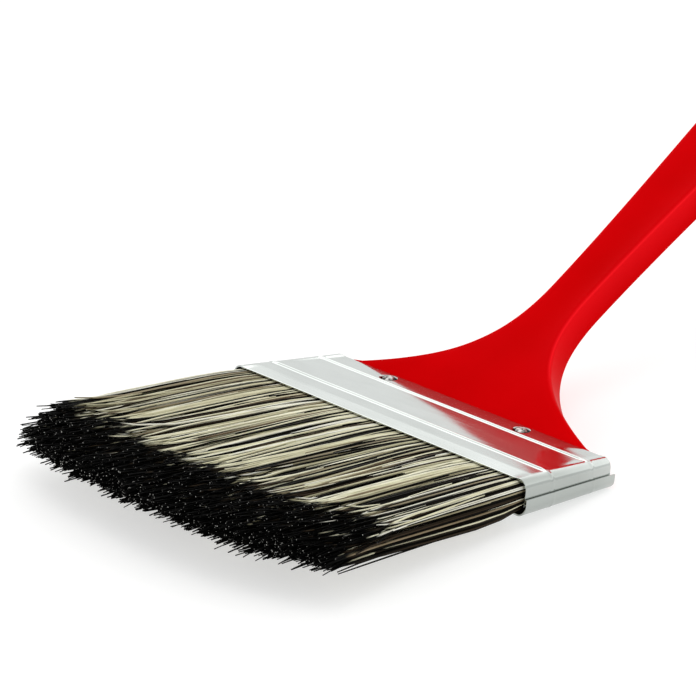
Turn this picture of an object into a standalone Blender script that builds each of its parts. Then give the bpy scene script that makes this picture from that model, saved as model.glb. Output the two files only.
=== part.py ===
# Flat paint brush for radiators and corners: a beaded tinplate ferrule holds two banks of
# bristles, and a moulded handle leaves the ferrule at an angle to the brush's plane.
# Metres. X runs across the brush, Y from the bristle tips to the handle, Z is up.

import math
import random

import bmesh
import bpy
from mathutils import Matrix, Vector
from mathutils.geometry import interpolate_bezier

# Ferrule: one wrapped strip of tinplate, outside sizes
FERRULE_WIDTH_FRONT = 0.0700
FERRULE_WIDTH_REAR = 0.0662
FERRULE_THICK_FRONT = 0.0062
FERRULE_THICK_REAR = 0.0054
FERRULE_LENGTH = 0.0218
FERRULE_CORNER = 0.0018
SHEET = 0.00025
LIP_LENGTH = 0.0034
LIP_CRIMP = 0.00015
BEAD_HEIGHT = 0.00045
BEAD_WIDTH = 0.0022
FRONT_BEAD_AT = 0.0069
LAP_COVER = 1.2
FLAP_OVERHANG = 0.0009
CORNER_STEPS = 5

# Clearances, and how much of a half side a fillet may take
FIT_GAP = 0.0003
NAIL_GAP = 0.00015
LAP_GAP = 0.00012
FILLET_LIMIT = 0.98

# Handle: a moulded tang in the ferrule, a fan, a neck and a flat grip
HANDLE_ANGLE = math.radians(35.7)
HANDLE_REACH = 0.126
BEND_RADIUS = 0.0045
BEND_LEAD = 0.0009
TANG_LENGTH = 0.0102
FAN_SHOULDER = 0.0016
FAN_PULL_ALONG = 0.10
FAN_PULL_ACROSS = 0.66
NECK_PULL = 0.67
NECK_AT = 0.030
NECK_WIDTH = 0.0089
NECK_THICK = 0.0055
NECK_FULL_AT = 0.70
GRIP_INSET = 0.022
GRIP_WIDTH = 0.0146
GRIP_THICK = 0.0056
BUTT_THICK = 0.0044
BUTT_TURN = math.radians(75)
EDGE_RADIUS = 0.0008
FAN_STEPS = 15
GRIP_STEPS = 8
BUTT_STEPS = 6
HANG_SLOT_WIDTH = 0.0055
HANG_SLOT_LENGTH = 0.0120
HANG_SLOT_INSET = 0.0055

# Nails: two through each face of the ferrule into the tang
NAIL_SPAN = 0.479
NAIL_SHIFT = -0.00115
NAIL_STAGGER = 0.0030
NAIL_LAND = 0.0009
NAIL_HEAD = 0.0019
NAIL_HEAD_RISE = 0.00036
NAIL_SHANK = 0.0010
NAIL_LENGTH = 0.63
NAIL_POINT = 0.0009
DIMPLE_RING = 0.00035
DIMPLE_DEPTH = 0.00035
TURN_STEPS = 16
DOME_STEPS = 5

# Bristles: two banks round a spacer, set in resin at the tang
BRISTLE_LENGTH = 0.0520
END_SHORTENING = 0.0075
END_CURVE = 2.5
TOP_CHISEL = 0.0085
CORE_CHISEL = 0.0005
UNDER_CHISEL = 0.0010
TIP_RAGGED = 0.0009
TIP_FLARE = 0.0010
BELLY_FLARE = 0.0003
BELLY_THICK = 1.0
BELLY_DROOP = 0.0004
TIP_THICK = 0.84
TIP_DROOP = 0.0011
STRAND_COLUMNS = 76
STRAND_ROWS = 2
STRAND_GAP = 0.00014
BELLY_SWELL = (0.90, 1.80)
TIP_SWELL = (0.60, 1.25)
ROOT_AT = 0.0020
ROOT_SIDE_GAP = 0.0006
ROOT_CORNER_SQUEEZE = 0.72
SPACER_THICK = 0.0009
SPACER_FRONT = 0.0012
RESIN_DEPTH = 0.0032
SEED = 11

# Half side of the plain grids that the strip and the banks are mapped from
GRID_HALF = 0.5
SHARP_ANGLE = math.radians(32)
MERGE_DISTANCE = 0.000001


def mix(first, last, share):
    return first + (last - first) * share


def ease(share):
    share = min(max(share, 0.0), 1.0)
    return share * share * (3.0 - 2.0 * share)


# Ferrule sizes along Y

def ferrule_half_width(y):
    return mix(FERRULE_WIDTH_FRONT, FERRULE_WIDTH_REAR, y / FERRULE_LENGTH) / 2


def ferrule_half_thick(y):
    return mix(FERRULE_THICK_FRONT, FERRULE_THICK_REAR, y / FERRULE_LENGTH) / 2


DIMPLE_WIDTH = NAIL_HEAD + DIMPLE_RING * 2
NAIL_AT = FERRULE_LENGTH - NAIL_LAND - DIMPLE_WIDTH / 2
REAR_BEAD_AT = NAIL_AT - (DIMPLE_WIDTH + BEAD_WIDTH) / 2
FACE_SLOPE = math.atan((FERRULE_THICK_FRONT - FERRULE_THICK_REAR) / 2 / FERRULE_LENGTH)


def face_relief(y):
    # Height of the beads above the plain sheet, and the crimp that draws the lip in
    relief = 0.0
    for bead in (FRONT_BEAD_AT, REAR_BEAD_AT):
        offset = abs(y - bead) / (BEAD_WIDTH / 2)
        if offset < 1.0:
            relief += BEAD_HEIGHT * math.cos(offset * math.pi / 2) ** 2
    if y < LIP_LENGTH:
        relief -= LIP_CRIMP * (1.0 - y / LIP_LENGTH)
    return relief


def inside_half_width(y):
    return ferrule_half_width(y) - SHEET - FIT_GAP


def inside_half_thick(y):
    return ferrule_half_thick(y) - SHEET - FIT_GAP


INSIDE_CORNER = FERRULE_CORNER - SHEET - FIT_GAP
TANG_FRONT = FERRULE_LENGTH - TANG_LENGTH
RESIN_REAR = TANG_FRONT - FIT_GAP
RESIN_FRONT = RESIN_REAR - RESIN_DEPTH
ROOT_REAR = RESIN_FRONT - FIT_GAP
FAN_HALF_WIDTH = inside_half_width(FERRULE_LENGTH) - FAN_SHOULDER
GRIP_AT = HANDLE_REACH - GRIP_INSET


# Scene helpers

def clear_scene():
    for item in list(bpy.data.objects):
        bpy.data.objects.remove(item, do_unlink=True)


def make_collection(name):
    collection = bpy.data.collections.new(name)
    bpy.context.scene.collection.children.link(collection)
    return collection


def make_material(name, colour, roughness, metallic):
    material = bpy.data.materials.new(name)
    material.use_nodes = True
    shader = material.node_tree.nodes["Principled BSDF"]
    shader.inputs["Base Color"].default_value = (*colour, 1.0)
    shader.inputs["Roughness"].default_value = roughness
    shader.inputs["Metallic"].default_value = metallic
    return material


def mesh_from(bm, name):
    mesh = bpy.data.meshes.new(name)
    bmesh.ops.recalc_face_normals(bm, faces=bm.faces[:])
    bm.to_mesh(mesh)
    bm.free()
    return mesh


def add_object(name, mesh, collection, parent, material=None):
    item = bpy.data.objects.new(name, mesh)
    collection.objects.link(item)
    item.parent = parent
    if material:
        mesh.materials.clear()
        mesh.materials.append(material)
        mesh.shade_smooth()
        mesh.set_sharp_from_angle(angle=SHARP_ANGLE)
    else:
        item.hide_render = True
        item.display_type = "WIRE"
    return item


def add_boolean(item, operation, collection):
    boolean = item.modifiers.new(operation.lower(), "BOOLEAN")
    boolean.operation = operation
    boolean.operand_type = "COLLECTION"
    boolean.collection = collection
    boolean.solver = "EXACT"


def add_screw(item):
    screw = item.modifiers.new("turn", "SCREW")
    screw.axis = "Z"
    screw.steps = TURN_STEPS
    screw.render_steps = TURN_STEPS
    screw.use_merge_vertices = True
    screw.merge_threshold = MERGE_DISTANCE


def profile_mesh(name, points, closed=False):
    # Half section for a Screw modifier: radius along X, height along Z
    bm = bmesh.new()
    verts = [bm.verts.new((radius, 0.0, height)) for radius, height in points]
    for first, second in zip(verts, verts[1:]):
        bm.edges.new((first, second))
    if closed:
        bm.edges.new((verts[-1], verts[0]))
    mesh = bpy.data.meshes.new(name)
    bm.to_mesh(mesh)
    bm.free()
    return mesh


# Lofts

def rounded_ring(half_width, half_thick, radius):
    # Points round a rounded rectangle in the section's own plane
    radius = min(radius, half_width * FILLET_LIMIT, half_thick * FILLET_LIMIT)
    ring = []
    for corner in range(4):
        side = 1 if corner in (0, 3) else -1
        lift = 1 if corner in (0, 1) else -1
        for step in range(CORNER_STEPS + 1):
            angle = (corner + step / CORNER_STEPS) * math.pi / 2
            across = side * (half_width - radius) + radius * math.cos(angle)
            up = lift * (half_thick - radius) + radius * math.sin(angle)
            ring.append((across, up))
    return ring


def loft(sections):
    # Each section is a list of points; neighbours are joined by quads and the ends capped
    bm = bmesh.new()
    rings = [[bm.verts.new(point) for point in section] for section in sections]
    count = len(rings[0])
    for near, far in zip(rings, rings[1:]):
        for index in range(count):
            following = (index + 1) % count
            bm.faces.new((near[index], near[following], far[following], far[index]))
    bm.faces.new(rings[0])
    bm.faces.new(rings[-1])
    return bm


def level_section(y, half_width, half_thick, radius):
    return [Vector((x, y, z)) for x, z in rounded_ring(half_width, half_thick, radius)]


# Ferrule

def ferrule_stations():
    stations = [0.0, LIP_LENGTH, FERRULE_LENGTH]
    for bead in (FRONT_BEAD_AT, REAR_BEAD_AT):
        stations += [bead + BEAD_WIDTH / 2 * share for share in (-1.0, -0.5, 0.0, 0.5, 1.0)]
    return sorted(stations)


def ferrule_columns():
    # The strip starts behind the lap at the +X end, goes over the top, round the far end,
    # back underneath, and its flap closes over the start at mid height
    columns = [("start", 0.0, 0.0)]
    for corner in range(4):
        for step in range(CORNER_STEPS + 1):
            columns.append((corner, (corner + step / CORNER_STEPS) * math.pi / 2, step / CORNER_STEPS))
    columns.append(("flap", math.tau, 1.0))
    return columns


def ferrule_point(column, y):
    place, angle, share = column
    half_width = ferrule_half_width(y)
    half_thick = ferrule_half_thick(y)
    radius = min(FERRULE_CORNER, half_thick * FILLET_LIMIT)
    relief = face_relief(y)
    out = Vector((math.cos(angle), 0.0, math.sin(angle)))
    rear = y >= FERRULE_LENGTH
    if place == "start":
        return Vector((half_width, y, -(half_thick - radius) * LAP_COVER)) + out * relief
    if place == "flap":
        lifted = half_width + relief + SHEET + LAP_GAP
        return Vector((lifted, y + (FLAP_OVERHANG if rear else 0.0), 0.0))
    side = 1 if place in (0, 3) else -1
    lift = 1 if place in (0, 1) else -1
    point = Vector((side * (half_width - radius), y, lift * (half_thick - radius)))
    point += out * (radius + relief)
    if place == 3:
        point += out * (SHEET + LAP_GAP) * ease(share)
        point.y += FLAP_OVERHANG * ease(share) if rear else 0.0
    return point


def build_ferrule(collection, parent, material, punches, dishes):
    stations = ferrule_stations()
    columns = ferrule_columns()
    bm = bmesh.new()
    bmesh.ops.create_grid(bm, x_segments=len(columns) - 1, y_segments=len(stations) - 1, size=GRID_HALF)
    for vert in bm.verts:
        across = (vert.co.x / GRID_HALF + 1.0) / 2
        along = (vert.co.y / GRID_HALF + 1.0) / 2
        column = columns[round(across * (len(columns) - 1))]
        station = stations[round(along * (len(stations) - 1))]
        vert.co = ferrule_point(column, station)
    mesh = mesh_from(bm, "ferrule")
    ferrule = add_object("ferrule", mesh, collection, parent, material)
    sheet = ferrule.modifiers.new("sheet", "SOLIDIFY")
    sheet.thickness = SHEET
    sheet.offset = -1.0
    sheet.use_even_offset = True
    add_boolean(ferrule, "DIFFERENCE", punches)
    add_boolean(ferrule, "UNION", dishes)
    return ferrule


# Nails, with the dimples they pull into the sheet and the holes they make in the tang

def nail_places():
    places = []
    reach = ferrule_half_width(NAIL_AT) * NAIL_SPAN
    for side, label in ((-1, "left"), (1, "right")):
        across = NAIL_SHIFT + side * reach
        top = Matrix.Translation((across, NAIL_AT, ferrule_half_thick(NAIL_AT)))
        top = top @ Matrix.Rotation(-FACE_SLOPE, 4, "X")
        places.append(("nail_top_" + label, top))
        across -= side * NAIL_STAGGER
        under = Matrix.Translation((across, NAIL_AT, -ferrule_half_thick(NAIL_AT)))
        under = under @ Matrix.Rotation(math.pi + FACE_SLOPE, 4, "X")
        places.append(("nail_under_" + label, under))
    return places


def nail_length():
    return ferrule_half_thick(NAIL_AT) * 2 * NAIL_LENGTH


def nail_profile():
    seat = FIT_GAP / 2 - DIMPLE_DEPTH
    head = NAIL_HEAD / 2
    shank = NAIL_SHANK / 2
    dome = [(0.0, seat + NAIL_HEAD_RISE)]
    for step in range(1, DOME_STEPS):
        angle = step / DOME_STEPS * math.pi / 2
        dome.append((head * math.sin(angle), seat + NAIL_HEAD_RISE * math.cos(angle)))
    end = seat - nail_length()
    return dome + [(head, seat), (shank, seat), (shank, end + NAIL_POINT), (0.0, end)]


def dish_profile():
    # The sheet drawn down under a nail head, with a hole for the shank
    hole = NAIL_SHANK / 2 + NAIL_GAP
    floor = NAIL_HEAD / 2 - NAIL_GAP
    rim = DIMPLE_WIDTH / 2 + SHEET / 2
    inset = SHEET / 8
    return [
        (hole, -DIMPLE_DEPTH),
        (floor, -DIMPLE_DEPTH),
        (DIMPLE_WIDTH / 2, -inset),
        (rim, -inset),
        (rim, -SHEET + inset),
        (DIMPLE_WIDTH / 2, -SHEET + inset),
        (floor, -DIMPLE_DEPTH - SHEET),
        (hole, -DIMPLE_DEPTH - SHEET),
    ]


def pilot_profile():
    # Hole in the tang: a clear recess under the dish, then a bore for the shank
    recess = DIMPLE_WIDTH / 2 + SHEET + FIT_GAP
    floor = -DIMPLE_DEPTH - SHEET - FIT_GAP
    bore = NAIL_SHANK / 2 + NAIL_GAP
    end = -DIMPLE_DEPTH - nail_length() - FIT_GAP
    return [(0.0, SHEET), (recess, SHEET), (recess, floor), (bore, floor), (bore, end), (0.0, end)]


def build_nails(collection, cutters, parent, material, punches, dishes):
    nail_mesh = profile_mesh("nail", nail_profile())
    dish_mesh = profile_mesh("dish", dish_profile(), closed=True)
    pilot_mesh = profile_mesh("pilot", pilot_profile())
    for name, place in nail_places():
        nail = add_object(name, nail_mesh, collection, parent, material)
        nail.matrix_local = place
        add_screw(nail)
        dish = add_object(name + "_dish", dish_mesh, dishes, parent)
        dish.matrix_local = place
        add_screw(dish)
        pilot = add_object(name + "_pilot", pilot_mesh, cutters, parent)
        pilot.matrix_local = place
        add_screw(pilot)
        bm = bmesh.new()
        radius = DIMPLE_WIDTH / 2
        depth = FERRULE_CORNER
        bmesh.ops.create_cone(
            bm, cap_ends=True, segments=TURN_STEPS, radius1=radius, radius2=radius, depth=depth)
        punch = add_object(name + "_punch", mesh_from(bm, "punch"), punches, parent)
        punch.matrix_local = place


# Handle

def fan_edge():
    # Half width against distance past the ferrule, from the fan's root to the neck
    root = Vector((0.0, FAN_HALF_WIDTH))
    neck = Vector((NECK_AT, NECK_WIDTH / 2))
    root_handle = Vector((NECK_AT * FAN_PULL_ALONG, FAN_HALF_WIDTH * FAN_PULL_ACROSS))
    neck_handle = neck - Vector((NECK_AT * NECK_PULL, 0.0))
    return interpolate_bezier(root, root_handle, neck_handle, neck, FAN_STEPS)


def grip_edge():
    # From the neck to the widest part of the grip, then round the butt
    edge = []
    for step in range(1, GRIP_STEPS + 1):
        share = step / GRIP_STEPS
        edge.append(Vector((mix(NECK_AT, GRIP_AT, share), mix(NECK_WIDTH, GRIP_WIDTH, ease(share)) / 2)))
    radius = GRIP_WIDTH / 2
    edge.append(Vector((HANDLE_REACH - radius, radius)))
    for step in range(1, BUTT_STEPS + 1):
        angle = BUTT_TURN * step / BUTT_STEPS
        edge.append(Vector((HANDLE_REACH - radius * (1.0 - math.sin(angle)), radius * math.cos(angle))))
    return edge


def handle_thick(reach):
    # Full thickness at a distance past the ferrule
    tang = inside_half_thick(FERRULE_LENGTH) * 2
    if reach < NECK_AT:
        rise = min(reach / (NECK_AT * NECK_FULL_AT), 1.0)
        return mix(tang, NECK_THICK, math.sin(rise * math.pi / 2))
    if reach < GRIP_AT:
        return mix(NECK_THICK, GRIP_THICK, ease((reach - NECK_AT) / (GRIP_AT - NECK_AT)))
    return mix(GRIP_THICK, BUTT_THICK, ease((reach - GRIP_AT) / (HANDLE_REACH - GRIP_AT)))


def handle_place(reach):
    # Point and slope of the handle's middle line: level in the ferrule, one bend, then straight
    start = FERRULE_LENGTH - BEND_LEAD
    along = reach + BEND_LEAD
    bend = HANDLE_ANGLE * BEND_RADIUS
    if along <= 0.0:
        return Vector((0.0, start + along, 0.0)), 0.0
    angle = min(along, bend) / BEND_RADIUS
    y = start + BEND_RADIUS * math.sin(angle)
    z = BEND_RADIUS * (1.0 - math.cos(angle))
    straight = max(along - bend, 0.0)
    return Vector((0.0, y + straight * math.cos(angle), z + straight * math.sin(angle))), angle


def handle_section(reach, half_width, half_thick, radius):
    place, angle = handle_place(reach)
    lift = Vector((0.0, -math.sin(angle), math.cos(angle)))
    return [place + Vector((x, 0.0, 0.0)) + lift * z for x, z in rounded_ring(half_width, half_thick, radius)]


def tang_sections():
    # The tang fills the ferrule, then draws in to the fan's root just inside the rear edge
    sections = []
    shoulder = FERRULE_LENGTH - BEND_LEAD * 2
    for share in (0.0, 0.5, 1.0):
        y = mix(TANG_FRONT, shoulder, share)
        sections.append(level_section(y, inside_half_width(y), inside_half_thick(y), INSIDE_CORNER))
    half_width = mix(inside_half_width(FERRULE_LENGTH), FAN_HALF_WIDTH, 0.5)
    y = FERRULE_LENGTH - BEND_LEAD
    sections.append(level_section(y, half_width, inside_half_thick(y), INSIDE_CORNER))
    return sections


def build_handle(collection, parent, material, cutters):
    sections = tang_sections()
    edge = fan_edge() + grip_edge()
    for reach, half_width in edge:
        radius = mix(INSIDE_CORNER, EDGE_RADIUS, ease(reach / NECK_AT))
        sections.append(handle_section(reach, half_width, handle_thick(reach) / 2, radius))
    handle = add_object("handle", mesh_from(loft(sections), "handle"), collection, parent, material)
    add_boolean(handle, "DIFFERENCE", cutters)
    return handle


def build_hang_slot(cutters, parent):
    # Round-ended slot through the butt for hanging the brush
    radius = HANG_SLOT_WIDTH / 2
    centre_reach = HANDLE_REACH - HANG_SLOT_INSET - HANG_SLOT_LENGTH / 2
    straight = HANG_SLOT_LENGTH / 2 - radius
    outline = []
    for end in (1, -1):
        for step in range(TURN_STEPS // 2 + 1):
            angle = step / TURN_STEPS * math.tau - end * math.pi / 2
            outline.append((end * straight + radius * math.cos(angle), radius * math.sin(angle)))
    place, angle = handle_place(centre_reach)
    bm = loft([[Vector((-v, u, height)) for u, v in outline] for height in (-GRIP_THICK, GRIP_THICK)])
    slot = add_object("hang_slot", mesh_from(bm, "hang_slot"), cutters, parent)
    slot.matrix_local = Matrix.Translation(place) @ Matrix.Rotation(angle, 4, "X")


# Resin set and spacer inside the ferrule

def build_resin(collection, parent, material):
    sections = []
    for y in (RESIN_FRONT, RESIN_REAR):
        sections.append(level_section(y, inside_half_width(y), inside_half_thick(y), INSIDE_CORNER))
    add_object("resin_set", mesh_from(loft(sections), "resin_set"), collection, parent, material)


def build_spacer(collection, parent, material):
    half_width = inside_half_width(ROOT_REAR) - ROOT_SIDE_GAP
    sections = []
    for y in (SPACER_FRONT, ROOT_REAR):
        sections.append(level_section(y, half_width, SPACER_THICK / 2, SPACER_THICK / 4))
    add_object("spacer_strip", mesh_from(loft(sections), "spacer_strip"), collection, parent, material)


# Bristles

def strand_plan(across, up, chance):
    # Belly and tip of the strand that leaves the slice at across and up, both from -1 to 1,
    # with the skin strands of the bundle cut back to a chisel
    skin = TOP_CHISEL if up > 0 else UNDER_CHISEL
    length = BRISTLE_LENGTH - mix(CORE_CHISEL, skin, abs(up))
    length -= END_SHORTENING * abs(across) ** END_CURVE
    length += chance.uniform(-TIP_RAGGED, TIP_RAGGED)
    half_width = FERRULE_WIDTH_FRONT / 2
    half_thick = FERRULE_THICK_FRONT / 2
    belly_up = up * half_thick * BELLY_THICK - BELLY_DROOP
    belly = Vector((across * (half_width + BELLY_FLARE), -length / 2, belly_up))
    tip = Vector((across * (half_width + TIP_FLARE), -length, up * half_thick * TIP_THICK - TIP_DROOP))
    return belly, tip


def move_ring(face, place, swell):
    # Carry a strand's section to a place, with its own scale across and up
    centre = face.calc_center_median()
    for vert in face.verts:
        offset = vert.co - centre
        vert.co = place + Vector((offset.x * swell[0], 0.0, offset.z * swell[1]))


def build_bank(name, lift, collection, parent, material, chance):
    # One bank: a slice of bound roots with every strand drawn out of its front face.
    # lift is 1 for the upper bank and -1 for the lower one.
    half_width = inside_half_width(ROOT_REAR) - ROOT_SIDE_GAP
    inner = SPACER_THICK / 2 + FIT_GAP
    outer = inside_half_thick(ROOT_REAR)
    middle = (inner + outer) / 2 * lift
    bm = bmesh.new()
    bmesh.ops.create_grid(bm, x_segments=STRAND_COLUMNS, y_segments=STRAND_ROWS, size=GRID_HALF)
    for vert in bm.verts:
        across = vert.co.x / GRID_HALF * half_width
        up = middle + vert.co.y / GRID_HALF * (outer - inner) / 2
        at_end = abs(across) > half_width - STRAND_GAP
        if at_end and abs(up) > abs(middle):
            up *= ROOT_CORNER_SQUEEZE
        vert.co = Vector((across, ROOT_AT, up))
    bm.normal_update()
    roots = bm.faces[:]
    bmesh.ops.inset_individual(bm, faces=roots, thickness=STRAND_GAP / 2, use_even_offset=True)
    rim = [edge for edge in bm.edges if edge.is_boundary]
    for root in roots:
        centre = root.calc_center_median()
        up = lift * (abs(centre.z) - inner) / (outer - inner)
        belly, tip = strand_plan(centre.x / half_width, up, chance)
        ring = bmesh.ops.extrude_discrete_faces(bm, faces=[root])["faces"][0]
        move_ring(ring, belly, BELLY_SWELL)
        end = bmesh.ops.extrude_discrete_faces(bm, faces=[ring])["faces"][0]
        move_ring(end, tip, (TIP_SWELL[0] / BELLY_SWELL[0], TIP_SWELL[1] / BELLY_SWELL[1]))
    back = bmesh.ops.extrude_edge_only(bm, edges=rim)["geom"]
    for vert in back:
        if isinstance(vert, bmesh.types.BMVert):
            vert.co.y = ROOT_REAR
    bmesh.ops.holes_fill(bm, edges=[edge for edge in bm.edges if edge.is_boundary])
    add_object(name, mesh_from(bm, name), collection, parent, material)


def rest_on_table(root, collection):
    # The handle's weight tips the brush back until its rear bead and the ferrule's rear edge
    # both touch the table, at height 0, with the box of the whole brush centred over the origin
    rise = ferrule_half_thick(REAR_BEAD_AT) + BEAD_HEIGHT - ferrule_half_thick(FERRULE_LENGTH)
    root.rotation_euler.x = -math.atan2(rise, FERRULE_LENGTH - REAR_BEAD_AT)
    bpy.context.view_layer.update()
    graph = bpy.context.evaluated_depsgraph_get()
    points = []
    for item in collection.objects:
        if item.type == "MESH":
            shown = item.evaluated_get(graph)
            points += [shown.matrix_world @ vert.co for vert in shown.data.vertices]
    lowest = [min(point[axis] for point in points) for axis in range(3)]
    highest = [max(point[axis] for point in points) for axis in range(3)]
    root.location.x -= (lowest[0] + highest[0]) / 2
    root.location.y -= (lowest[1] + highest[1]) / 2
    root.location.z -= lowest[2]
    bpy.context.view_layer.update()


def main():
    clear_scene()
    brush = make_collection("paint_brush")
    handle_cutters = make_collection("handle_cutters")
    punches = make_collection("ferrule_punches")
    dishes = make_collection("ferrule_dishes")
    root = bpy.data.objects.new("brush_origin", None)
    brush.objects.link(root)

    red = make_material("red_plastic", (0.60, 0.004, 0.006), 0.28, 0.0)
    tin = make_material("tinplate", (0.72, 0.73, 0.71), 0.25, 1.0)
    steel = make_material("nail_steel", (0.62, 0.62, 0.60), 0.35, 1.0)
    amber = make_material("resin", (0.45, 0.30, 0.12), 0.4, 0.0)
    card = make_material("spacer_wood", (0.62, 0.48, 0.32), 0.7, 0.0)
    hair = make_material("bristle", (0.42, 0.40, 0.30), 0.6, 0.0)

    build_nails(brush, handle_cutters, root, steel, punches, dishes)
    build_hang_slot(handle_cutters, root)
    build_ferrule(brush, root, tin, punches, dishes)
    build_handle(brush, root, red, handle_cutters)
    build_resin(brush, root, amber)
    build_spacer(brush, root, card)
    chance = random.Random(SEED)
    build_bank("bristles_upper", 1, brush, root, hair, chance)
    build_bank("bristles_lower", -1, brush, root, hair, chance)
    rest_on_table(root, brush)


main()
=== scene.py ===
import math
import random

import bmesh
import bpy
from mathutils import Euler, Matrix, Vector, noise
from mathutils.geometry import interpolate_bezier


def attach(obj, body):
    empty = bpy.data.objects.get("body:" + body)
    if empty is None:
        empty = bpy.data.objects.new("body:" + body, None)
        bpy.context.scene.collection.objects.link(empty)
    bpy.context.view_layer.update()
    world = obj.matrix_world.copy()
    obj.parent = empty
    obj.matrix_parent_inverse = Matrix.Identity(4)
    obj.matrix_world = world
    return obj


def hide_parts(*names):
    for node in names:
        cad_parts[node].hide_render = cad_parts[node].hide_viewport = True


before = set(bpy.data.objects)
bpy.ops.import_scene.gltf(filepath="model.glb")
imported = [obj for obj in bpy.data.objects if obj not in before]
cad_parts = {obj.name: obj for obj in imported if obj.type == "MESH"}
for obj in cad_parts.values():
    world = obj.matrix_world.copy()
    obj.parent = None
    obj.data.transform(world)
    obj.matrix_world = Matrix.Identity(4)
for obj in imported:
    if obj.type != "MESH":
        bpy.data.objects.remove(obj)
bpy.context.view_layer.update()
print("frame loaded,", len(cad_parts), "solids")

# The pieces are modelled in the brush's own frame, X across, Y from tips to handle, with the
# ferrule's front edge at Y = 0. The brush then leans back on its rear bead and rear edge.
# Lengths are in metres.
rest = {"tilt": math.radians(-6.6266), "place": (0.0, -0.0403415, 0.0051977)}
toTable = Matrix.Translation(rest["place"]) @ Matrix.Rotation(rest["tilt"], 4, "X")

axisX, axisY, axisZ = range(3)
tiny = 0.000001  # far below any feature of the brush
sharpEdge = math.radians(60)  # edges that turn further get a rim


def mix(first, last, share):
    return first + (last - first) * share


def ease(share):
    share = min(max(share, 0.0), 1.0)
    return share * share * (3.0 - 2.0 * share)


def edgesAlong(bm, axis, least):
    return [edge for edge in bm.edges if abs(edge.verts[0].co[axis] - edge.verts[1].co[axis]) > least]


def addPiece(name, bm, material, nodes):
    bmesh.ops.transform(bm, matrix=toTable, verts=bm.verts[:])
    mesh = bpy.data.meshes.new(name)
    bm.to_mesh(mesh)
    bm.free()
    mesh.materials.append(material)
    mesh.shade_smooth()
    piece = bpy.data.objects.new(name, mesh)
    bpy.context.scene.collection.objects.link(piece)
    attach(piece, "root")
    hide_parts(*nodes)
    return piece


def addRim(piece, name, width, segments):
    rim = piece.modifiers.new(name, "BEVEL")
    rim.width = width
    rim.segments = segments
    rim.limit_method = "ANGLE"
    rim.angle_limit = sharpEdge


# Materials

noiseSpan = (0.3, 0.7)  # most values of a noise texture lie between these
noiseWide = (0.25, 0.75)  # and nearly all between these


def newMaterial(name):
    material = bpy.data.materials.new(name)
    material.use_nodes = True
    return material, material.node_tree, material.node_tree.nodes["Principled BSDF"]


def addNode(tree, kind, **settings):
    node = tree.nodes.new(kind)
    for key, value in settings.items():
        if key in node.inputs:
            node.inputs[key].default_value = value
        else:
            setattr(node, key, value)
    return node


def readLayer(tree, name):
    return addNode(tree, "ShaderNodeAttribute", attribute_name=name).outputs["Fac"]


def stretchedNoise(tree, stretch, detail, rough=0.5):
    place = addNode(tree, "ShaderNodeTexCoord")
    scale = addNode(tree, "ShaderNodeMapping", Rotation=(-rest["tilt"], 0.0, 0.0), Scale=stretch)
    grain = addNode(tree, "ShaderNodeTexNoise", Scale=1.0, Detail=detail, Roughness=rough)
    tree.links.new(place.outputs["Object"], scale.inputs["Vector"])
    tree.links.new(scale.outputs["Vector"], grain.inputs["Vector"])
    return grain.outputs["Fac"]


def addRamp(tree, source, stops):
    ramp = addNode(tree, "ShaderNodeValToRGB")
    line = ramp.color_ramp.elements
    line[0].position, line[0].color = stops[0][0], (*stops[0][1], 1.0)
    line[1].position, line[1].color = stops[-1][0], (*stops[-1][1], 1.0)
    for position, colour in stops[1:-1]:
        line.new(position).color = (*colour, 1.0)
    tree.links.new(source, ramp.inputs["Fac"])
    return ramp.outputs["Color"]


def addFade(tree, source, low, high, span=noiseSpan):
    return addRamp(tree, source, ((span[0], low), (span[1], high)))


def addMix(tree, share, first, last):
    # From a socket's colour to a plain one
    blend = addNode(tree, "ShaderNodeMix", data_type="RGBA")
    tree.links.new(share, blend.inputs["Factor"])
    tree.links.new(first, blend.inputs["A"])
    blend.inputs["B"].default_value = (*last, 1.0)
    return blend.outputs["Result"]


def addRange(tree, source, fromLow, fromHigh, toLow, toHigh):
    span = addNode(tree, "ShaderNodeMapRange")
    ends = (("From Min", fromLow), ("From Max", fromHigh), ("To Min", toLow), ("To Max", toHigh))
    for key, value in ends:
        span.inputs[key].default_value = value
    tree.links.new(source, span.inputs["Value"])
    return span.outputs["Result"]


def addBump(tree, shader, source, strength, height):
    bump = addNode(tree, "ShaderNodeBump", Strength=strength, Distance=height)
    tree.links.new(source, bump.inputs["Height"])
    tree.links.new(bump.outputs["Normal"], shader.inputs["Normal"])


def redPlastic():
    look = {
        "deep": (0.555, 0.0, 0.0008), "fresh": (0.625, 0.0, 0.0014), "edge": (0.92, 0.010, 0.016),
        "gloss": (0.28, 0.38), "shine": 0.005, "glint": (1.0, 0.25, 0.20),
        "mottle": (60.0, 60.0, 60.0), "peel": (1500.0, 1500.0, 1500.0)}
    material, tree, shader = newMaterial("redGlossPlastic")
    mottle = stretchedNoise(tree, look["mottle"], detail=3.0)
    peel = stretchedNoise(tree, look["peel"], detail=2.0)
    # Painted highlight: the upper edges and the tops of the sides are painted lighter, as where light falls
    # on them
    faces = addFade(tree, mottle, look["deep"], look["fresh"])
    colour = addMix(tree, readLayer(tree, "ridgeHighlight"), faces, look["edge"])
    tree.links.new(colour, shader.inputs["Base Color"])
    tree.links.new(addRange(tree, mottle, *noiseWide, *look["gloss"]), shader.inputs["Roughness"])
    addBump(tree, shader, peel, strength=0.10, height=0.00004)
    shader.inputs["Specular IOR Level"].default_value = look["shine"]
    shader.inputs["Specular Tint"].default_value = (*look["glint"], 1.0)
    return material


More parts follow.
